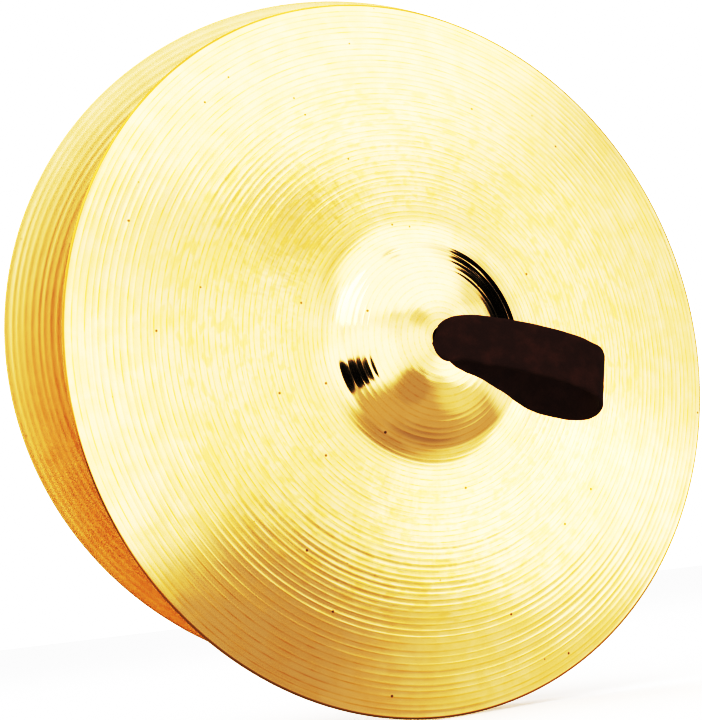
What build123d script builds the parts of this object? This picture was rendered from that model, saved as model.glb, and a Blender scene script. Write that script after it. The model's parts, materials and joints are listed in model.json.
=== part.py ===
from build123d import *
import math
import os

# A pair of hand cymbals, held up and opened like a clam, each plate on its own leather hand strap.
# Row frame: origin at the mouth of the front plate's centre hole, -Y outward along the front plate's
# axis, +Z up. Millimetres.

os.makedirs("parts", exist_ok=True)

# --- driving dimensions -------------------------------------------------------------------------
PLATE_RADIUS = 203.2  # a 16 inch plate
BELL_RADIUS = 58.0  # where the bell's dome ends
BELL_HEIGHT = 15.0
SKIRT_RADIUS = 73.0  # where the skirt round the bell has levelled out into the bow
SKIRT_DROP = 2.8
BOW_RISE = 17.2  # from the rim up to the skirt
HOLE_RADIUS = 6.25
BELL_THICKNESS = 1.2
RIM_THICKNESS = 0.85
CREASE_FILLET = 10.0  # between the dome and the skirt
RIM_FILLET = 0.35

CLAM_ANGLE = 18.03  # between the two rim planes
CONTACT_X = 191.9  # the upright line that the rear rim rocks on, near the front rim
RIM_GAP = 2.0  # from the front rim plane to that line
REAR_LIFT = 26.5  # the rear plate is held this much higher

LEATHER = 2.4  # strap thickness
STRAP_WIDTH = 32.0
SHOULDER_WIDTH = 15.0  # the strap's width where it turns down into the hole
SHOULDER_LENGTH = 22.0
STRAP_DROOP = 26.1  # degrees that the loop hangs below the horizontal
STRAP_ROLL = 8.0  # degrees that the loop is rolled about its length, its near half upward
LEAN_HEIGHT = 3.5  # the leather bends this far outside the hole's mouth
NECK_WIDTH = 9.6
NECK_DEPTH = 5.4  # both strap ends together

TAIL_WIDTH = 7.0
TAIL_THICKNESS = 2.4
TAIL_OFFSET = 6.2  # from the hole's axis to the middle of a woven tail
TAIL_STEP = 2.8  # from one woven layer to the next
KNOT_REACH = 17.5
TAIL_END = 24.0
KNOT_TOP = -3.6  # the knot bears on the inside of the bell around its rim

# The middle of the leather round the loop, in the plane of its bend: along the lean, and outward
# from the hole's mouth. The near half arches out, and the far half lies along the bell.
LOOP_ROUTE = [
    (3.4, 7.8),
    (16.0, 15.4),
    (30.0, 22.6),
    (50.0, 31.0),
    (66.0, 35.0),
    (80.0, 33.0),
    (89.0, 20.0),
    (86.0, 4.0),
    (69.0, -5.5),
    (48.0, -5.5),
    (28.0, 0.4),
    (5.0, 3.6),
]

# --- the two plates' frames: x along the strap's lean, z outward along the plate's axis ----------
TOTAL_HEIGHT = BELL_HEIGHT + SKIRT_DROP + BOW_RISE


def plate_plane(origin, outward, lean):
    return Plane(origin=origin, x_dir=lean, z_dir=outward)


def leaning(sideways):
    droop = math.radians(STRAP_DROOP)
    return sideways * math.cos(droop) + Vector(0, 0, -1) * math.sin(droop)


clam = math.radians(CLAM_ANGLE)
rear_outward = Vector(math.sin(clam), math.cos(clam), 0)
rear_sideways = Vector(-math.cos(clam), math.sin(clam), 0)
contact = Vector(CONTACT_X, TOTAL_HEIGHT + RIM_GAP, REAR_LIFT)
rear_mouth = contact + rear_sideways * PLATE_RADIUS + rear_outward * TOTAL_HEIGHT

front_plane = plate_plane(Vector(0, 0, 0), Vector(0, -1, 0), leaning(Vector(1, 0, 0)))
rear_plane = plate_plane(rear_mouth, rear_outward, leaning(rear_sideways))


# --- the bronze plate ---------------------------------------------------------------------------
DOME_RADIUS = (BELL_RADIUS**2 + BELL_HEIGHT**2) / (2 * BELL_HEIGHT)


def dome_height(radius, sphere=DOME_RADIUS):
    return math.sqrt(sphere**2 - radius**2) - DOME_RADIUS


def bow_height(radius):
    rise = (PLATE_RADIUS**2 - radius**2) / (PLATE_RADIUS**2 - SKIRT_RADIUS**2)
    return BOW_RISE * rise - TOTAL_HEIGHT


def skirt_height(radius):
    """Steepest at the dome's foot, and as level as the bow where it meets the bow."""
    width = SKIRT_RADIUS - BELL_RADIUS
    out = radius - BELL_RADIUS
    end_slope = 2 * BOW_RISE * SKIRT_RADIUS / (PLATE_RADIUS**2 - SKIRT_RADIUS**2)
    start_slope = 2 * SKIRT_DROP / width - end_slope
    return -BELL_HEIGHT - start_slope * out + (start_slope - end_slope) * out**2 / (2 * width)


def turned_plane(plane, degrees):
    angle = math.radians(degrees)
    lean = plane.x_dir * math.cos(angle) + plane.y_dir * math.sin(angle)
    return Plane(origin=plane.origin, x_dir=lean, z_dir=plane.z_dir)


def radial_section(plane):
    return Plane(origin=plane.origin, x_dir=plane.x_dir, z_dir=-plane.y_dir)


def make_plate(plane, label):
    inner_sphere = DOME_RADIUS - BELL_THICKNESS
    inner_crease = BELL_RADIUS - 0.4 * BELL_THICKNESS
    middle = (SKIRT_RADIUS + PLATE_RADIUS) / 2
    skirt_middle = (BELL_RADIUS + SKIRT_RADIUS) / 2
    dome_middle = (HOLE_RADIUS + BELL_RADIUS) / 2
    outer_start = (HOLE_RADIUS, dome_height(HOLE_RADIUS))
    outer_crease = (BELL_RADIUS, dome_height(BELL_RADIUS))
    outer_skirt = (SKIRT_RADIUS, bow_height(SKIRT_RADIUS))
    inner_skirt = (SKIRT_RADIUS, bow_height(SKIRT_RADIUS) - BELL_THICKNESS)
    outer_rim = (PLATE_RADIUS, -TOTAL_HEIGHT)
    inner_rim = (PLATE_RADIUS, -TOTAL_HEIGHT - RIM_THICKNESS)
    inner_bow = (middle, bow_height(middle) - (BELL_THICKNESS + RIM_THICKNESS) / 2)
    inner_corner = (inner_crease, dome_height(inner_crease, inner_sphere))
    inner_start = (HOLE_RADIUS, dome_height(HOLE_RADIUS, inner_sphere))
    with BuildPart() as plate:
        with BuildSketch(radial_section(plane)) as section:
            with BuildLine():
                ThreePointArc(outer_start, (dome_middle, dome_height(dome_middle)), outer_crease)
                ThreePointArc(outer_crease, (skirt_middle, skirt_height(skirt_middle)), outer_skirt)
                ThreePointArc(outer_skirt, (middle, bow_height(middle)), outer_rim)
                Line(outer_rim, inner_rim)
                ThreePointArc(inner_rim, inner_bow, inner_skirt)
                skirt_inside = (skirt_middle, skirt_height(skirt_middle) - 1.01 * BELL_THICKNESS)
                ThreePointArc(inner_skirt, skirt_inside, inner_corner)
                dome_inside = (dome_middle, dome_height(dome_middle, inner_sphere))
                ThreePointArc(inner_corner, dome_inside, inner_start)
                Line(inner_start, outer_start)
            make_face()
            corners = section.vertices().filter_by(lambda v: abs(v.X - BELL_RADIUS) < 1)
            fillet(corners, CREASE_FILLET)
            rims = section.vertices().filter_by(lambda v: v.X > PLATE_RADIUS - 0.1)
            fillet(rims, RIM_FILLET)
        revolve(axis=Axis(plane.origin, plane.z_dir))
    plate.part.label = label
    export_step(plate.part, f"parts/{label}.step")
    return plate.part


# --- the leather strap --------------------------------------------------------------------------
def rolled_plane(plane, degrees):
    angle = math.radians(degrees)
    outward = plane.z_dir * math.cos(angle) + plane.y_dir * math.sin(angle)
    return Plane(origin=plane.origin, x_dir=plane.x_dir, z_dir=outward)


def make_hand_strap(plane, label):
    bend = radial_section(rolled_plane(plane, STRAP_ROLL))
    with BuildPart() as strap:
        with BuildSketch(bend):
            with BuildLine():
                Spline(LOOP_ROUTE, tangents=[(0.7, 0.7), (-1.0, 0.1)])
            trace(line_width=LEATHER)
        extrude(amount=STRAP_WIDTH / 2, both=True)
        with BuildSketch(plane):
            with BuildLine():
                half = STRAP_WIDTH / 2
                narrow = SHOULDER_WIDTH / 2
                reach = max(along for along, _ in LOOP_ROUTE) + 10
                Polyline(
                    (-SHOULDER_LENGTH / 2, 0),
                    (-SHOULDER_LENGTH / 2, narrow),
                    (0, narrow),
                    (SHOULDER_LENGTH, half),
                    (reach, half),
                    (reach, 0),
                    close=True,
                )
            make_face()
            mirror(about=Plane.XZ)
        extrude(amount=TOTAL_HEIGHT, both=True, mode=Mode.INTERSECT)
    strap.part.label = label
    export_step(strap.part, f"parts/{label}.step")
    return strap.part


def make_neck(plane, label):
    bottom = KNOT_TOP - TAIL_THICKNESS
    with BuildPart() as neck:
        with BuildSketch(radial_section(plane)):
            with Locations((0, (LEAN_HEIGHT + bottom) / 2)):
                Rectangle(NECK_DEPTH, LEAN_HEIGHT - bottom)
            with Locations((0, LEAN_HEIGHT)):
                Circle(NECK_DEPTH / 2)
        extrude(amount=NECK_WIDTH / 2, both=True)
        edges_along = neck.edges().filter_by(Axis(plane.origin, plane.z_dir))
        fillet(edges_along, NECK_DEPTH / 5)
    neck.part.label = label
    export_step(neck.part, f"parts/{label}.step")
    return neck.part


def make_tail(plane, index, label):
    """One of four alike tails: out under the bell, folded back, over one tail and under the next."""
    turned = turned_plane(plane, 90 * index)
    half = TAIL_WIDTH / 2
    inner = TAIL_OFFSET - half
    outer = TAIL_OFFSET + half
    leg_start = NECK_WIDTH / 2 + 0.1
    leg_low = KNOT_TOP - TAIL_THICKNESS
    under = leg_low - TAIL_STEP
    over = under - TAIL_STEP
    with BuildPart() as tail:
        # the woven run, seen from the side: over the first crossing, then under the second
        with BuildSketch(radial_section(turned).offset(inner)):
            with BuildLine():
                Polyline(
                    (-KNOT_REACH, over),
                    (-inner, over),
                    (inner, under),
                    (TAIL_END, under),
                    (TAIL_END, under + TAIL_THICKNESS),
                    (inner, under + TAIL_THICKNESS),
                    (-inner, over + TAIL_THICKNESS),
                    (-KNOT_REACH, over + TAIL_THICKNESS),
                    close=True,
                )
            make_face()
        extrude(amount=TAIL_WIDTH)
        # the leg out from the neck
        with BuildSketch(turned.offset(leg_low)):
            with BuildLine():
                leg_edge = inner - 0.4
                Polyline(
                    (-leg_start, -leg_start + 0.2),
                    (-KNOT_REACH, -leg_start + 0.2),
                    (-KNOT_REACH, leg_edge),
                    (-leg_start, leg_edge),
                    close=True,
                )
            make_face()
        extrude(amount=TAIL_THICKNESS)
        # the fold that joins them
        with BuildSketch(turned.offset(over)):
            with BuildLine():
                fold_start = KNOT_REACH - TAIL_THICKNESS
                Polyline(
                    (-fold_start, -outer),
                    (-KNOT_REACH, -outer),
                    (-KNOT_REACH, leg_edge),
                    (-fold_start, leg_edge),
                    close=True,
                )
            make_face()
        extrude(amount=KNOT_TOP - over)
    tail.part.label = label
    export_step(tail.part, f"parts/{label}.step")
    return tail.part


def make_side(plane, side):
    pieces = [
        make_plate(plane, f"{side}_cymbal"),
        make_hand_strap(plane, f"{side}_hand_strap"),
        make_neck(plane, f"{side}_strap_neck"),
    ]
    for index in range(4):
        pieces.append(make_tail(plane, index, f"{side}_knot_tail_{index + 1}"))
    return pieces


pieces = make_side(front_plane, "front") + make_side(rear_plane, "rear")

print("rear mouth", rear_plane.origin, "outward", rear_plane.z_dir, "lean", rear_plane.x_dir)
for piece in pieces:
    print(piece.label, round(piece.volume / 1000, 2), "cm3", piece.bounding_box())
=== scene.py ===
import json
import math
import random

import bpy
import numpy as np
from mathutils import Matrix, Vector, noise


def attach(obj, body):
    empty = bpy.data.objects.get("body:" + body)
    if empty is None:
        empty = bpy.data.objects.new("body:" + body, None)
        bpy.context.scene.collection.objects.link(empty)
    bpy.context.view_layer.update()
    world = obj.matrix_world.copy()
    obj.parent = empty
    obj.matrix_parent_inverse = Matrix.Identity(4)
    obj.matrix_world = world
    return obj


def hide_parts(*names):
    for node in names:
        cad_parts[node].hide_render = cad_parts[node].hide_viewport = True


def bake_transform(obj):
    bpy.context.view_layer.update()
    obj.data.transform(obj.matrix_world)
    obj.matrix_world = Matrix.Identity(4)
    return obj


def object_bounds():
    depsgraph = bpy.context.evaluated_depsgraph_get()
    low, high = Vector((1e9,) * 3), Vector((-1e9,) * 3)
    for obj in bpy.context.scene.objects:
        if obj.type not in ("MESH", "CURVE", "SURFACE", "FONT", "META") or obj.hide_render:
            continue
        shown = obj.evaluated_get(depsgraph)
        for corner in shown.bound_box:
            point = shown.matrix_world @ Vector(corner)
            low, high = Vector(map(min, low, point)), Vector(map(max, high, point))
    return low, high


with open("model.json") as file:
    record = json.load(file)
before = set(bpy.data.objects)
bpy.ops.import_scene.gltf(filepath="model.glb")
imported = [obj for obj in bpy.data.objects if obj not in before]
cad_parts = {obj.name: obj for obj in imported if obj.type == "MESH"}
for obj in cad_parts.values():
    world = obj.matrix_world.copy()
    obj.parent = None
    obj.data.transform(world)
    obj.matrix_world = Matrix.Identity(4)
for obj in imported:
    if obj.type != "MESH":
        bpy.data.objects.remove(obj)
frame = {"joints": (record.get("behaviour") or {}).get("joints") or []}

# A pair of bronze hand cymbals opened like a clam, each with a leather strap through its centre hole.
# Lengths named in millimetres are turned into metres by MM. Each plate has its own frame: x along the
# way its strap leans, y across the strap, z outward along the plate's axis, origin at the hole's mouth.

MM = 0.001
cad_low, cad_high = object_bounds()
JOINTS = {joint["name"]: joint for joint in frame["joints"]}
SIDES = ("front", "rear")
# mesh attributes
OWN_PLACE = "own_place"  # where a point lies in its plate's own frame
CUT_FLOOR = "cut_floor"  # 0 on the ridge between two turned cuts, 1 in the middle of a cut
INSIDE_FACE = "inside_face"  # 1 on the face that strikes the other plate
ROUND_MAP = "round_the_plate"  # UV map whose U runs round the plate


def plate_matrix(side):
    """Where a plate's own frame stands in the row frame, read from its strap's two joints."""
    turn = JOINTS[f"{side}_strap_turn"]
    lean = JOINTS[f"{side}_strap_lean"]
    outward = Vector(turn["axis"]).normalized()
    across = -Vector(lean["axis"]).normalized()
    along = across.cross(outward)
    matrix = Matrix((along, across, outward)).transposed().to_4x4()
    matrix.translation = Vector(turn["pos_m"])
    return matrix


def ramp(low, high, value):
    """0 below low, 1 above high, and an even S-curve between them."""
    t = min(max((value - low) / (high - low), 0.0), 1.0)
    return t * t * (3 - 2 * t)


# --- the bronze plates --------------------------------------------------------------------------
PLATE_RADIUS = 203.2
BELL_RADIUS = 58.0  # where the bell's dome ends
BELL_HEIGHT = 15.0
SKIRT_RADIUS = 73.0  # where the skirt round the bell has levelled out into the bow
SKIRT_DROP = 2.8
BOW_RISE = 17.2
TOTAL_HEIGHT = BELL_HEIGHT + SKIRT_DROP + BOW_RISE
DOME_RADIUS = (BELL_RADIUS**2 + BELL_HEIGHT**2) / (2 * BELL_HEIGHT)
HOLE_RADIUS = 6.25
BELL_THICKNESS = 1.2
RIM_THICKNESS = 0.85
CREASE_BLEND = 0.4  # height over which the dome runs into the skirt
EDGE_ROUND = 0.38
SEGMENTS = 188  # vertices in each ring of a plate
HAMMERED_FROM = 78.0  # radius of the first row of hammer marks, and where the rows stop
HAMMERED_TO = 192.0

# Runs of turned cuts on a face: from radius, to radius, pitch, depth, rings in each cut.
OUTSIDE_CUTS = (
    (7.0, 42.0, 3.5, 0.022, 4),
    (42.0, 57.0, 3.0, 0.068, 7),
    (57.0, 73.0, 2.6, 0.026, 4),
    (73.0, 112.0, 3.1, 0.034, 5),
    (112.0, 150.0, 3.1, 0.034, 5),
    (150.0, 202.4, 3.4, 0.055, 6),
)
INSIDE_CUTS = (
    (7.0, 57.0, 4.2, 0.030, 3),
    (57.0, 73.0, 2.7, 0.020, 3),
    (73.0, 140.0, 4.4, 0.040, 4),
    (140.0, 202.4, 3.6, 0.062, 5),
)


def dome_height(radius, sphere):
    return np.sqrt(np.maximum(sphere**2 - radius**2, 0.0)) - DOME_RADIUS


def bow_height(radius):
    rise = (PLATE_RADIUS**2 - radius**2) / (PLATE_RADIUS**2 - SKIRT_RADIUS**2)
    return BOW_RISE * rise - TOTAL_HEIGHT


def skirt_height(radius):
    """Steepest at the dome's foot, and as level as the bow where it meets the bow."""
    width = SKIRT_RADIUS - BELL_RADIUS
    out = radius - BELL_RADIUS
    end_slope = 2 * BOW_RISE * SKIRT_RADIUS / (PLATE_RADIUS**2 - SKIRT_RADIUS**2)
    start_slope = 2 * SKIRT_DROP / width - end_slope
    return -BELL_HEIGHT - start_slope * out + (start_slope - end_slope) * out**2 / (2 * width)


def face_height(radius, thickness_at_bell, thickness_at_rim):
    """Height of a face of the plate: the bell's dome, the skirt round it and the bow."""
    spread = np.clip((radius - BELL_RADIUS) / (PLATE_RADIUS - BELL_RADIUS), 0.0, 1.0)
    thickness = thickness_at_bell + (thickness_at_rim - thickness_at_bell) * spread
    dome = dome_height(radius, DOME_RADIUS - thickness_at_bell)
    outer = np.where(radius < SKIRT_RADIUS, skirt_height(radius), bow_height(radius)) - thickness
    near = np.maximum(CREASE_BLEND - np.abs(dome - outer), 0.0)
    joined = np.maximum(dome, outer) + near**2 / (4 * CREASE_BLEND)
    return np.where(radius < BELL_RADIUS - 8.0, dome, joined)


def turned_rings(cuts, rng):
    """Rings across a face: radius, depth below the ridges, and 0 on a ridge to 1 in a cut's middle."""
    rings = []
    for start, end, pitch, depth, steps in cuts:
        count = round((end - start) / pitch)
        edges = [start + (end - start) * (k + rng.uniform(-0.16, 0.16)) / count for k in range(count)]
        edges[0] = start
        edges.append(end)
        for low, high in zip(edges, edges[1:]):
            deep = depth * rng.uniform(0.55, 1.5)
            for step in range(steps):
                u = step / steps
                rings.append((low + (high - low) * u, 4 * deep * u * (1 - u), 4 * u * (1 - u)))
    rings.append((cuts[-1][1], 0.0, 0.0))
    return rings


def hammer_marks(radius, angle, rng):
    """Shallow peened dents in uneven rows round the middle of the bow."""
    dent = np.zeros_like(radius)
    row = HAMMERED_FROM
    while row < HAMMERED_TO:
        length = rng.uniform(5.5, 7.5)
        width = rng.uniform(5.0, 8.0)
        count = int(2 * math.pi * row / rng.uniform(13.0, 17.0))
        near_row = np.abs(radius[:, 0] - row) < length + 3.0
        for k in range(count):
            centre = 2 * math.pi * (k + rng.uniform(-0.35, 0.35)) / count
            middle = row + rng.uniform(-3.0, 3.0)
            deep = rng.uniform(0.015, 0.075)
            turn = (angle[near_row] - centre + math.pi) % (2 * math.pi) - math.pi
            away = ((radius[near_row] - middle) / length) ** 2 + (turn * row / width) ** 2
            dent[near_row] += deep * np.clip(1 - away, 0.0, 1.0) ** 2
        row += rng.uniform(10.0, 13.0)
    return dent


def cymbal_mesh(name, seed):
    rng = random.Random(seed)
    outside = turned_rings(OUTSIDE_CUTS, rng)
    inside = turned_rings(INSIDE_CUTS, rng)
    out_r, out_cut, out_floor = (np.array(column) for column in zip(*outside))
    in_r, in_cut, in_floor = (np.array(column) for column in zip(*inside))
    out_z = face_height(out_r, 0.0, 0.0)
    in_z = face_height(in_r, BELL_THICKNESS, RIM_THICKNESS)
    # the rim's rounded edge, from the outside face to the inside face
    turns = np.radians((60.0, 25.0, -25.0, -60.0))
    rim_r = PLATE_RADIUS - EDGE_ROUND + EDGE_ROUND * np.cos(turns)
    rim_z = -TOTAL_HEIGHT - RIM_THICKNESS / 2 + RIM_THICKNESS / 2 * np.sin(turns)
    # the hole's wall, from the inside face to the outside face
    wall_r = np.array((HOLE_RADIUS + 0.15, HOLE_RADIUS, HOLE_RADIUS, HOLE_RADIUS + 0.15))
    wall_z = np.array((-1.4, -1.2, -0.4, -0.2))

    ring_r = np.concatenate((out_r, rim_r, in_r[::-1], wall_r))
    ring_z = np.concatenate((out_z, rim_z, in_z[::-1], wall_z))
    ring_cut = np.concatenate((-out_cut, 0 * rim_r, in_cut[::-1], 0 * wall_r))
    ring_floor = np.concatenate((out_floor, 0 * rim_r, in_floor[::-1], 0 * wall_r))
    ring_inside = np.concatenate((0 * out_r, 0 * rim_r, 1 + 0 * in_r, 1 + 0 * wall_r))
    ring_count = len(ring_r)
    angles = np.arange(SEGMENTS) * 2 * math.pi / SEGMENTS
    radius = np.repeat(ring_r[:, None], SEGMENTS, axis=1)
    angle = np.repeat(angles[None, :], ring_count, axis=0)

    # the cuts wander a little in depth round the plate, and the hammering breaks them up
    wander = 1 + 0.25 * np.sin(3 * angle + radius * 0.09) + 0.2 * np.sin(7 * angle - radius * 0.05)
    height = ring_z[:, None] + ring_cut[:, None] * wander
    marks = np.zeros_like(height)
    face = slice(0, len(out_r))
    marks[face] = hammer_marks(radius[face], angle[face], rng)
    bottom = slice(len(out_r) + len(rim_r), len(out_r) + len(rim_r) + len(in_r))
    marks[bottom] = hammer_marks(radius[bottom], angle[bottom], rng)
    height -= marks

    places = np.stack((radius * np.cos(angle), radius * np.sin(angle), height), axis=-1)
    rings = np.arange(ring_count)
    spokes = np.arange(SEGMENTS)
    here, onward = np.meshgrid(rings, spokes, indexing="ij")
    ring_next = (here + 1) % ring_count
    spoke_next = (onward + 1) % SEGMENTS
    corners = (
        here * SEGMENTS + onward,
        ring_next * SEGMENTS + onward,
        ring_next * SEGMENTS + spoke_next,
        here * SEGMENTS + spoke_next,
    )
    faces = np.stack(corners, axis=-1).reshape(-1, 4)
    mesh = bpy.data.meshes.new(name)
    mesh.from_pydata((places.reshape(-1, 3) * MM).tolist(), [], faces.tolist())
    mesh.shade_smooth()
    for attribute, ring_values in ((CUT_FLOOR, ring_floor), (INSIDE_FACE, ring_inside)):
        values = np.repeat(ring_values[:, None], SEGMENTS, axis=1).astype(np.float32)
        mesh.attributes.new(attribute, "FLOAT", "POINT").data.foreach_set("value", values.ravel())
    # U runs round the plate, so that the polish's grain can follow it
    turns = np.stack((onward, onward, onward + 1, onward + 1), axis=-1) / SEGMENTS
    outs = np.stack((here, here + 1, here + 1, here), axis=-1) / ring_count
    layer = mesh.uv_layers.new(name=ROUND_MAP)
    layer.data.foreach_set("uv", np.stack((turns, outs), axis=-1).astype(np.float32).ravel())
    return mesh


def make_piece(name, mesh, material, matrix):
    """A piece whose mesh is set in the row frame; it remembers its own frame for its material."""
    count = len(mesh.vertices)
    places = np.zeros(count * 3, np.float32)
    mesh.vertices.foreach_get("co", places)
    own = mesh.attributes.new(OWN_PLACE, "FLOAT_VECTOR", "POINT")
    own.data.foreach_set("vector", places)
    mesh.transform(matrix)
    mesh.materials.append(material)
    piece = bpy.data.objects.new(name, mesh)
    bpy.context.collection.objects.link(piece)
    return piece


def make_cymbal(side, seed, bronze):
    name = f"{side}_bronze_plate"
    plate = make_piece(name, cymbal_mesh(name, seed), bronze, plate_matrix(side))
    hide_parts(f"{side}_cymbal")
    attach(plate, f"{side}_plate")
    return plate


# --- leather ------------------------------------------------------------------------------------
STRAP_THICKNESS = 2.4


def smooth_path(points, spacing):
    """A smooth curve through the points, as evenly spaced places (Catmull-Rom by chord length)."""
    points = [Vector(point) for point in points]
    points = [2 * points[0] - points[1], *points, 2 * points[-1] - points[-2]]
    places = []
    for before, start, end, after in zip(points, points[1:], points[2:], points[3:]):
        span = (end - start).length
        lead = (end - before) * span / ((end - start).length + (start - before).length)
        trail = (after - start) * span / ((end - start).length + (after - end).length)
        count = max(2, round(span / spacing))
        for step in range(count):
            t = step / count
            places.append(
                start * (2 * t**3 - 3 * t**2 + 1)
                + lead * (t**3 - 2 * t**2 + t)
                + end * (3 * t**2 - 2 * t**3)
                + trail * (t**3 - t**2)
            )
    places.append(points[-2])
    return places


LEATHER_SEED = 7  # without a seed Blender starts its vector noise from the clock


def band_section(half_width, thickness, columns):
    """Outline of a flat band's section with rounded edges: (across, through) pairs, anticlockwise."""
    half = thickness / 2
    flat = half_width - half * 0.8
    outline = [(-flat + 2 * flat * k / columns, -half) for k in range(columns + 1)]
    corner = flat + half * 0.55
    outline += [(corner, -half * 0.75), (half_width, 0.0), (corner, half * 0.75)]
    outline += [(flat - 2 * flat * k / columns, half) for k in range(columns + 1)]
    outline += [(-corner, half * 0.75), (-half_width, 0.0), (-corner, -half * 0.75)]
    return outline


def sweep_band(name, stations, columns):
    """A closed band mesh. Each station is (centre, across, through, half_width, thickness)."""
    verts, faces = [], []
    for centre, across, through, half_width, thickness in stations:
        for a, t in band_section(half_width, thickness, columns):
            verts.append(centre + across * a + through * t)
    size = len(verts) // len(stations)
    for row in range(len(stations) - 1):
        for k in range(size):
            k_next = (k + 1) % size
            low, high = row * size, (row + 1) * size
            faces.append((low + k, low + k_next, high + k_next, high + k))
    faces.append(tuple(reversed(range(size))))
    faces.append(tuple(range((len(stations) - 1) * size, len(stations) * size)))
    # small unevenness of cut and handled leather
    for k, vert in enumerate(verts):
        rough = noise.noise_vector(vert * 0.55) * 0.10 + noise.noise_vector(vert * 0.16) * 0.22
        verts[k] = (vert + rough) * MM
    mesh = bpy.data.meshes.new(name)
    mesh.from_pydata([tuple(v) for v in verts], [], faces)
    mesh.shade_smooth()
    return mesh


# The middle of the strap's leather, in its own slanted frame: along the lean, across, outward, and
# half the width of the leather there. It comes up through the hole, folds over the hole's edge, arches
# out, turns back at the far end and runs down through the hole again.
STRAP_ROUTE = (
    (-1.4, 0.0, -5.6, 4.8),
    (-1.5, 0.0, -1.6, 4.8),
    (-1.8, -0.5, 0.8, 5.8),
    (-4.6, -1.6, 2.4, 5.8),
    (-5.8, -2.2, 4.4, 6.6),
    (-4.6, -3.4, 6.8, 10.6),
    (-1.2, -3.9, 8.8, 14.0),
    (3.0, -3.2, 10.4, 15.3),
    (9.5, -1.0, 12.8, 15.3),
    (18.5, -0.2, 16.6, 16.0),
    (31.0, 0.4, 23.0, 16.0),
    (50.5, 0.5, 31.5, 16.0),
    (66.5, 0.6, 35.5, 16.0),
    (80.5, 0.6, 34.4, 16.0),
    (91.0, 2.0, 20.0, 16.0),
    (90.0, 5.0, 3.0, 16.0),
    (73.0, 7.6, -10.0, 15.8),
    (50.5, 6.4, -3.8, 16.0),
    (29.0, 2.6, 3.6, 15.4),
    (14.0, -1.0, 4.4, 13.0),
    (5.0, -1.6, 3.2, 9.8),
    (1.7, -0.4, -0.6, 5.4),
    (1.4, 0.0, -5.6, 4.8),
)
LOOP_ROLL = -11.6  # degrees that the loop is rolled about its length
NEAR_TWIST = 4.5  # degrees that the leather turns about its own run on the near half
FAR_TWIST = 24.0  # and on the far half


def strap_stations():
    path = smooth_path(STRAP_ROUTE, 1.2)
    lengths = [0.0]
    for a, b in zip(path, path[1:]):
        lengths.append(lengths[-1] + (b - a).to_3d().length)
    total = lengths[-1]
    stations = []
    for k, (place, s) in enumerate(zip(path, lengths)):
        heading = (path[min(k + 1, len(path) - 1)] - path[max(k - 1, 0)]).to_3d()
        heading.y = 0
        heading.normalize()
        free = ramp(6.0, 26.0, min(s, total - s))
        turned = NEAR_TWIST + (FAR_TWIST - NEAR_TWIST) * ramp(0.5, 0.65, s / total)
        twist = math.radians(turned) * free
        slant = Matrix.Rotation(math.radians(LOOP_ROLL) * free, 3, "X")
        level = Vector((0, 1, 0))
        through = heading.cross(level).normalized()
        across = level * math.cos(twist) - through * math.sin(twist)
        through = through * math.cos(twist) + level * math.sin(twist)
        axes = (slant @ place.to_3d(), slant @ across, slant @ through)
        stations.append((*axes, place.w, STRAP_THICKNESS))
    return stations


def make_strap(side, leather):
    name = f"{side}_leather_strap"
    matrix = plate_matrix(side)
    strap = make_piece(name, sweep_band(name, strap_stations(), 14), leather, matrix)
    # a cheat: real metal mirrors its strap, but the photo's shows almost nothing of it
    strap.visible_glossy = False
    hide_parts(f"{side}_hand_strap", f"{side}_strap_neck")
    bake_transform(strap)
    return strap


# A tail's route under the bell, in the plate's frame turned a quarter for each tail.
TAIL_ROUTE = (
    (-2.6, -1.2, -3.0),
    (-6.0, -1.2, -4.7),
    (-13.5, -1.6, -5.0),
    (-17.0, -3.4, -7.4),
    (-13.5, -5.8, -10.2),
    (-6.2, -6.2, -10.5),
    (0.0, -6.2, -9.0),
    (6.2, -6.2, -7.5),
    (14.0, -6.3, -7.4),
    (24.0, -6.8, -8.4),
)
TAIL_HALF_WIDTH = 3.4
TAIL_THICKNESS = 2.1


def make_tail(side, index, leather):
    path = smooth_path(TAIL_ROUTE, 0.8)
    stations = []
    for k, place in enumerate(path):
        heading = (path[min(k + 1, len(path) - 1)] - path[max(k - 1, 0)]).normalized()
        across = Vector((0, 1, 0))
        across = (across - heading * across.dot(heading)).normalized()
        through = heading.cross(across)
        stations.append((place, across, through, TAIL_HALF_WIDTH, TAIL_THICKNESS))
    name = f"{side}_knot_tail_strip_{index}"
    quarter = Matrix.Rotation(math.pi / 2 * (index - 1), 4, "Z")
    tail = make_piece(name, sweep_band(name, stations, 6), leather, plate_matrix(side) @ quarter)
    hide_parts(f"{side}_knot_tail_{index}")
    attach(tail, f"{side}_knot")
    return tail


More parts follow.
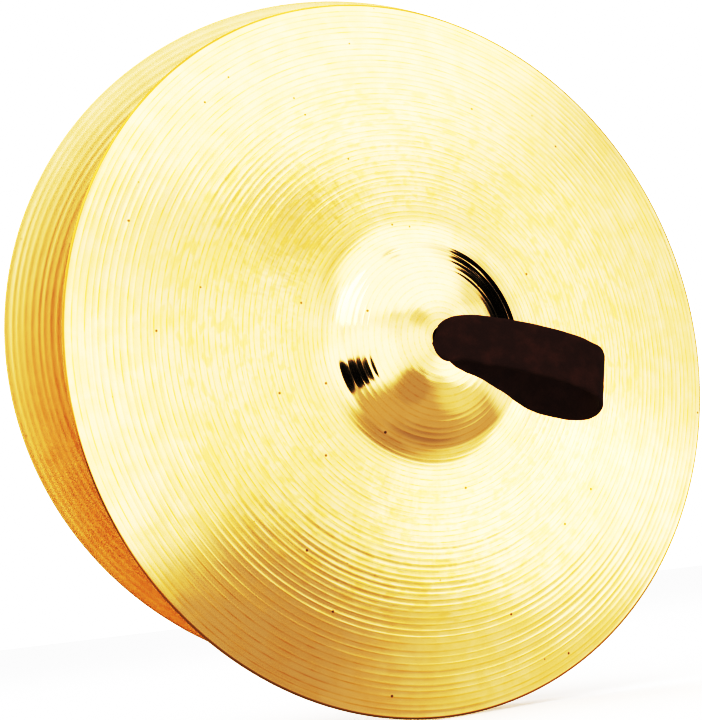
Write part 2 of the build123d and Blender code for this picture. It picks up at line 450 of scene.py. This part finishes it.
# --- materials ----------------------------------------------------------------------------------
class Nodes:
    """Short hand for building a material's or world's node tree."""

    def __init__(self, tree):
        self.tree = tree
        tree.nodes.clear()

    def add(self, kind, settings=(), **inputs):
        node = self.tree.nodes.new(kind)
        for key, value in dict(settings).items():
            setattr(node, key, value)
        for key, value in inputs.items():
            name = key.replace("_", " ")
            socket = node.inputs[int(key[1:])] if key[1:].isdigit() else node.inputs[name]
            if isinstance(value, bpy.types.NodeSocket):
                self.tree.links.new(value, socket)
            else:
                socket.default_value = value
        return node.outputs[0] if node.outputs else None

    def attribute(self, name, output):
        self.add("ShaderNodeAttribute", {"attribute_name": name})
        return self.tree.nodes[-1].outputs[output]

    def split(self, vector):
        self.add("ShaderNodeSeparateXYZ", (), Vector=vector)
        return self.tree.nodes[-1].outputs

    def math(self, operation, a, b=0.0):
        return self.add("ShaderNodeMath", {"operation": operation}, _0=a, _1=b)

    def remap(self, value, low, high, to_low, to_high):
        settings = {"interpolation_type": "SMOOTHSTEP"}
        return self.add(
            "ShaderNodeMapRange",
            settings,
            Value=value,
            From_Min=low,
            From_Max=high,
            To_Min=to_low,
            To_Max=to_high,
        )

    def mix(self, factor, a, b):
        node = self.tree.nodes.new("ShaderNodeMix")
        node.data_type = "RGBA"
        for socket, value in ((node.inputs[0], factor), (node.inputs[6], a), (node.inputs[7], b)):
            if isinstance(value, bpy.types.NodeSocket):
                self.tree.links.new(value, socket)
            else:
                socket.default_value = value
        return node.outputs[2]


def new_material(name):
    material = bpy.data.materials.new(name)
    material.use_nodes = True
    return material, Nodes(material.node_tree)


# Colours of the bronze, and of a painted dark reflection along its rim.
PALE = (0.88, 0.64, 0.37, 1)
DEEP = (0.84, 0.58, 0.29, 1)
BROWN = (0.74, 0.45, 0.18, 1)
BROKEN_TONE = (0.81, 0.53, 0.22, 1)
RIDGE_TONE = (0.78, 0.49, 0.17, 1)
# painted dark reflection: the colour that darkens the rim's rounded edge
RIM_REFLECTION_TONE = (0.42, 0.22, 0.07, 1)
SPECK_TONE = (0.25, 0.12, 0.04, 1)
INSIDE_TONE = (0.88, 0.70, 0.42, 1)


def bronze_material():
    material, nodes = new_material("turned_bronze")
    place = nodes.attribute(OWN_PLACE, "Vector")
    floor = nodes.attribute(CUT_FLOOR, "Fac")
    inside = nodes.attribute(INSIDE_FACE, "Fac")
    x, y, _ = nodes.split(place)
    squares = nodes.math("ADD", nodes.math("MULTIPLY", x, x), nodes.math("MULTIPLY", y, y))
    radius = nodes.math("SQRT", squares)
    across = nodes.math("DIVIDE", x, nodes.math("MAXIMUM", radius, 0.001))
    along = nodes.math("DIVIDE", y, nodes.math("MAXIMUM", radius, 0.001))
    # streaks that run round the plate: fine in radius, long in angle
    fine_out = nodes.math("MULTIPLY", radius, 900.0)
    fine = nodes.add("ShaderNodeCombineXYZ", (), X=fine_out, Y=across, Z=along)
    streaks = nodes.add("ShaderNodeTexNoise", (), Vector=fine, Scale=1.6, Detail=3.0, Roughness=0.6)
    # dashes where the hammering has broken the cuts up, as long as a hammer mark
    dash_x = nodes.math("MULTIPLY", across, 14.0)
    dash_y = nodes.math("MULTIPLY", along, 14.0)
    dash_z = nodes.math("MULTIPLY", radius, 330.0)
    dash = nodes.add("ShaderNodeCombineXYZ", (), X=dash_x, Y=dash_y, Z=dash_z)
    dashes = nodes.add("ShaderNodeTexNoise", (), Vector=dash, Scale=1.0, Detail=1.5, Roughness=0.5)
    patches = nodes.add("ShaderNodeTexNoise", (), Vector=place, Scale=70.0, Detail=3.0, Roughness=0.55)
    clouds = nodes.add("ShaderNodeTexNoise", (), Vector=place, Scale=9.0, Detail=2.0, Roughness=0.5)

    bell = nodes.remap(radius, 0.053, 0.068, 1.0, 0.0)
    past_bell = nodes.remap(radius, 0.068, 0.085, 0.0, 1.0)
    middle = nodes.math("MULTIPLY", past_bell, nodes.remap(radius, 0.14, 0.17, 1.0, 0.0))
    tone = nodes.mix(nodes.remap(patches, 0.35, 0.65, 0.0, 0.6), PALE, DEEP)
    tone = nodes.mix(nodes.remap(clouds, 0.4, 0.75, 0.0, 0.4), tone, DEEP)
    broken = nodes.math("MULTIPLY", nodes.remap(dashes, 0.5, 0.66, 0.0, 0.55), middle)
    tone = nodes.mix(broken, tone, BROKEN_TONE)
    ridge = nodes.remap(floor, 0.0, 0.6, 0.9, 0.0)
    lines = nodes.math("MULTIPLY", ridge, nodes.remap(dashes, 0.3, 0.6, 1.0, 0.4))
    tone = nodes.mix(lines, tone, RIDGE_TONE)
    # a painted dark reflection: a thin dark line round the rim's rounded edge
    rim_reflection = nodes.remap(radius, 0.2018, 0.2024, 0.0, 0.85)
    tone = nodes.mix(rim_reflection, tone, RIM_REFLECTION_TONE)
    tone = nodes.mix(nodes.remap(streaks, 0.55, 0.8, 0.0, 0.4), tone, BROWN)
    tone = nodes.mix(nodes.math("MULTIPLY", bell, 0.35), tone, PALE)
    specks = nodes.add("ShaderNodeTexVoronoi", (), Vector=place, Scale=60.0)
    speck = nodes.remap(specks, 0.03, 0.055, 0.8, 0.0)
    tone = nodes.mix(speck, tone, SPECK_TONE)
    tone = nodes.mix(nodes.math("MULTIPLY", inside, 0.7), tone, INSIDE_TONE)

    rough = nodes.remap(streaks, 0.3, 0.7, 0.10, 0.15)
    rough = nodes.math("ADD", rough, nodes.remap(patches, 0.3, 0.7, 0.0, 0.04))
    rough = nodes.math("SUBTRACT", rough, nodes.math("MULTIPLY", bell, 0.05))
    rough = nodes.math("ADD", rough, nodes.math("MULTIPLY", inside, 0.27))
    # hammer strokes that point outward, on the part of the bow next to the bell
    stroke_x = nodes.math("MULTIPLY", across, 26.0)
    stroke_y = nodes.math("MULTIPLY", along, 26.0)
    stroke_z = nodes.math("MULTIPLY", radius, 90.0)
    stroke = nodes.add("ShaderNodeCombineXYZ", (), X=stroke_x, Y=stroke_y, Z=stroke_z)
    strokes = nodes.add("ShaderNodeTexNoise", (), Vector=stroke, Scale=1.0, Detail=1.0, Roughness=0.5)
    near_bell = nodes.remap(radius, 0.072, 0.08, 0.0, 1.0)
    near_bell = nodes.math("MULTIPLY", near_bell, nodes.remap(radius, 0.115, 0.15, 1.0, 0.2))
    strokes = nodes.math("MULTIPLY", strokes, near_bell)
    bump = nodes.add("ShaderNodeBump", (), Strength=1.0, Distance=0.00006, Height=strokes)
    bump = nodes.add("ShaderNodeBump", (), Strength=0.15, Distance=0.0001, Height=streaks, Normal=bump)
    tangent = nodes.add("ShaderNodeTangent", {"direction_type": "UV_MAP", "uv_map": ROUND_MAP})
    shader = nodes.add(
        "ShaderNodeBsdfPrincipled",
        (),
        Base_Color=tone,
        Metallic=1.0,
        Roughness=rough,
        Anisotropic=0.4,
        Normal=bump,
        Tangent=tangent,
    )
    nodes.add("ShaderNodeOutputMaterial", (), Surface=shader)
    return material


LEATHER_DARK = (0.055, 0.024, 0.018, 1)
LEATHER_WORN = (0.085, 0.038, 0.028, 1)


def leather_material():
    material, nodes = new_material("black_leather")
    place = nodes.attribute(OWN_PLACE, "Vector")
    grain = nodes.add("ShaderNodeTexVoronoi", (), Vector=place, Scale=1100.0)
    wear = nodes.add("ShaderNodeTexNoise", (), Vector=place, Scale=90.0, Detail=4.0, Roughness=0.6)
    fibre = nodes.add("ShaderNodeTexNoise", (), Vector=place, Scale=900.0, Detail=2.0, Roughness=0.6)
    worn = nodes.remap(wear, 0.35, 0.7, 0.0, 1.0)
    tone = nodes.mix(worn, LEATHER_DARK, LEATHER_WORN)
    height = nodes.math("ADD", nodes.math("MULTIPLY", grain, 0.7), nodes.math("MULTIPLY", fibre, 0.5))
    bump = nodes.add("ShaderNodeBump", (), Strength=0.5, Distance=0.00025, Height=height)
    rough = nodes.remap(wear, 0.3, 0.7, 0.62, 0.8)
    shader = nodes.add(
        "ShaderNodeBsdfPrincipled",
        (),
        Base_Color=tone,
        Roughness=rough,
        Normal=bump,
        Specular_IOR_Level=0.15,
    )
    nodes.add("ShaderNodeOutputMaterial", (), Surface=shader)
    return material


def floor_material():
    material, nodes = new_material("pale_floor")
    shader = nodes.add("ShaderNodeBsdfPrincipled", (), Base_Color=(0.9, 0.9, 0.9, 1), Roughness=0.9)
    nodes.add("ShaderNodeOutputMaterial", (), Surface=shader)
    return material


# --- studio -------------------------------------------------------------------------------------
FLOOR_REACH = 30.0


def make_floor():
    mesh = bpy.data.meshes.new("studio_floor")
    level = cad_low.z - 0.5 * MM
    ways = ((-1, -1), (1, -1), (1, 1), (-1, 1))
    corners = [(x * FLOOR_REACH, y * FLOOR_REACH, level) for x, y in ways]
    mesh.from_pydata(corners, [], [(0, 1, 2, 3)])
    mesh.materials.append(floor_material())
    floor = bpy.data.objects.new("studio_floor", mesh)
    bpy.context.collection.objects.link(floor)
    # a cheat too: the metal mirrors the world's panels instead of the floor
    floor.visible_glossy = False


def studio_way(azimuth, elevation):
    """A direction: azimuth 0 is toward -Y and 90 toward +X; elevation is above the horizon."""
    a, e = math.radians(azimuth), math.radians(elevation)
    return Vector((math.sin(a) * math.cos(e), -math.cos(a) * math.cos(e), math.sin(e)))


# Soft panels and dark flags round the object: azimuth, elevation, half width and half height in
# degrees, edge softness, and how bright it is.
PANELS = (
    (19.0, -60.0, 62.0, 47.8, 0.08, 0.75),
    (44.0, -18.0, 16.0, 9.0, 0.7, 1.10),
    (11.0, -15.5, 10.5, 9.5, 0.14, 0.66),
    (15.0, -75.0, 40.0, 36.0, 0.4, 0.58),
    (-80.0, 22.0, 38.0, 42.0, 0.5, 2.2),
    (-95.0, -42.0, 60.0, 38.0, 0.6, 0.85),
    (15.0, 46.0, 38.0, 24.0, 0.4, 2.1),
    (42.0, -5.0, 17.0, 8.0, 0.5, 2.2),
    (-14.0, 2.0, 20.0, 18.0, 0.5, 2.0),
    (14.0, 7.0, 9.0, 8.0, 0.6, 1.75),
    (20.0, 20.0, 6.0, 4.0, 0.5, 1.05),
    (7.0, 22.0, 5.0, 2.5, 0.6, 1.3),
    (64.0, 15.0, 11.0, 17.0, 0.7, 1.2),
    (30.0, 62.0, 5.0, 6.0, 0.5, 1.2),
    (140.0, 0.0, 34.0, 70.0, 0.3, 0.5),
    (83.0, 18.0, 12.5, 13.0, 0.15, 0.01),
    (78.0, 34.0, 7.5, 9.0, 0.2, 0.01),
    (-20.5, -7.0, 9.5, 8.5, 0.2, 0.01),
)
OPEN_AIR = 1.48  # brightness of the world between the panels,
LOW_AIR = 0.8  # far below the horizon,
BACKDROP = 2.2  # and as the camera sees it


def grey(light):
    return (light, light, light, 1)


def make_world():
    world = bpy.data.worlds.new("studio")
    bpy.context.scene.world = world
    world.use_nodes = True
    nodes = Nodes(world.node_tree)
    nodes.add("ShaderNodeTexCoord")
    way = world.node_tree.nodes[-1].outputs["Generated"]

    def along(direction):
        nodes.add("ShaderNodeVectorMath", {"operation": "DOT_PRODUCT"}, _0=way, _1=tuple(direction))
        return world.node_tree.nodes[-1].outputs["Value"]

    _, _, up = nodes.split(way)
    below = nodes.remap(up, -0.75, -0.35, 1.0, 0.0)
    tint = nodes.mix(below, grey(OPEN_AIR), grey(LOW_AIR))
    for azimuth, elevation, half_width, half_height, soft, light in PANELS:
        centre = studio_way(azimuth, elevation)
        side = studio_way(azimuth + 90, 0)
        top = centre.cross(side) * -1
        wide = nodes.math("DIVIDE", along(side), math.sin(math.radians(half_width)))
        high = nodes.math("DIVIDE", along(top), math.sin(math.radians(half_height)))
        away = nodes.math("ADD", nodes.math("MULTIPLY", wide, wide), nodes.math("MULTIPLY", high, high))
        inside = nodes.remap(away, 1 - soft, 1 + soft, 1.0, 0.0)
        facing = nodes.math("GREATER_THAN", along(centre), 0.0)
        tint = nodes.mix(nodes.math("MULTIPLY", inside, facing), tint, grey(light))
    nodes.add("ShaderNodeLightPath")
    seen = world.node_tree.nodes[-1].outputs["Is Camera Ray"]
    tint = nodes.mix(seen, tint, grey(BACKDROP))
    shade = nodes.add("ShaderNodeBackground", (), Color=tint, Strength=1.0)
    nodes.add("ShaderNodeOutputWorld", (), Surface=shade)


def make_light(name, way, distance, size, strength):
    """A square softbox that looks at the middle of the object from the given direction."""
    light = bpy.data.lights.new(name, "AREA")
    light.shape = "SQUARE"
    light.size = size
    light.energy = strength * size * size * math.pi
    lamp = bpy.data.objects.new(name, light)
    bpy.context.collection.objects.link(lamp)
    middle = (cad_low + cad_high) / 2
    lamp.location = middle + Vector(way).normalized() * distance
    lamp.rotation_euler = (middle - lamp.location).to_track_quat("-Z", "Y").to_euler()


# The camera fitted to the photo: degrees and metres.
VIEW_AZIMUTH = -28.35
VIEW_ELEVATION = -8.11
VIEW_ROLL = -6.85
VIEW_DISTANCE = 0.9548  # from the eye to the front rim's plane of view
RIM_RIGHT = 0.0340  # the front rim's centre stands this far right of the middle of the view
RIM_UP = 0.0057
LENS = 85.0


def make_camera():
    camera = bpy.data.cameras.new("photo_view")
    camera.lens = LENS
    camera.sensor_width = 36.0
    seat = bpy.data.objects.new("photo_view", camera)
    bpy.context.collection.objects.link(seat)
    look = Matrix.Rotation(math.radians(VIEW_AZIMUTH), 4, "Z")
    look = look @ Matrix.Rotation(math.radians(90 - VIEW_ELEVATION), 4, "X")
    look = look @ Matrix.Rotation(math.radians(VIEW_ROLL), 4, "Z")
    rim_centre = plate_matrix("front") @ Vector((0, 0, -TOTAL_HEIGHT * MM))
    eye = rim_centre + look.to_3x3() @ Vector((-RIM_RIGHT, -RIM_UP, VIEW_DISTANCE))
    seat.matrix_world = Matrix.Translation(eye) @ look
    bpy.context.scene.camera = seat


# How much of each light reaches the picture: deep shadows, and highlights that roll off softly.
FILM = ((0.25, 0.053), (0.44, 0.31), (0.61, 0.62), (0.85, 0.82), (1.30, 0.965))
WHITE = 1.8


def grade():
    """Standard colours with the strong contrast of a bright product picture."""
    settings = bpy.context.scene.view_settings
    settings.view_transform = "Standard"
    settings.look = "None"
    settings.use_curve_mapping = True
    curves = settings.curve_mapping
    curves.white_level = (WHITE, WHITE, WHITE)
    for light, shown in FILM:
        curves.curves[3].points.new(light / WHITE, shown)
    curves.update()


noise.seed_set(LEATHER_SEED)
bronze = bronze_material()
leather = leather_material()
for seed, side in enumerate(SIDES):
    make_cymbal(side, 11 + seed, bronze)
    make_strap(side, leather)
    for index in range(1, 5):
        make_tail(side, index, leather)
make_floor()
make_world()
make_light("key_softbox", (-0.55, -0.75, 0.75), 1.8, 1.2, 1.2)
make_light("fill_softbox", (0.9, -0.6, 0.15), 2.0, 1.0, 0.25)
make_light("top_softbox", (0.1, 0.2, 1.0), 1.6, 1.8, 1.6)
make_camera()
grade()
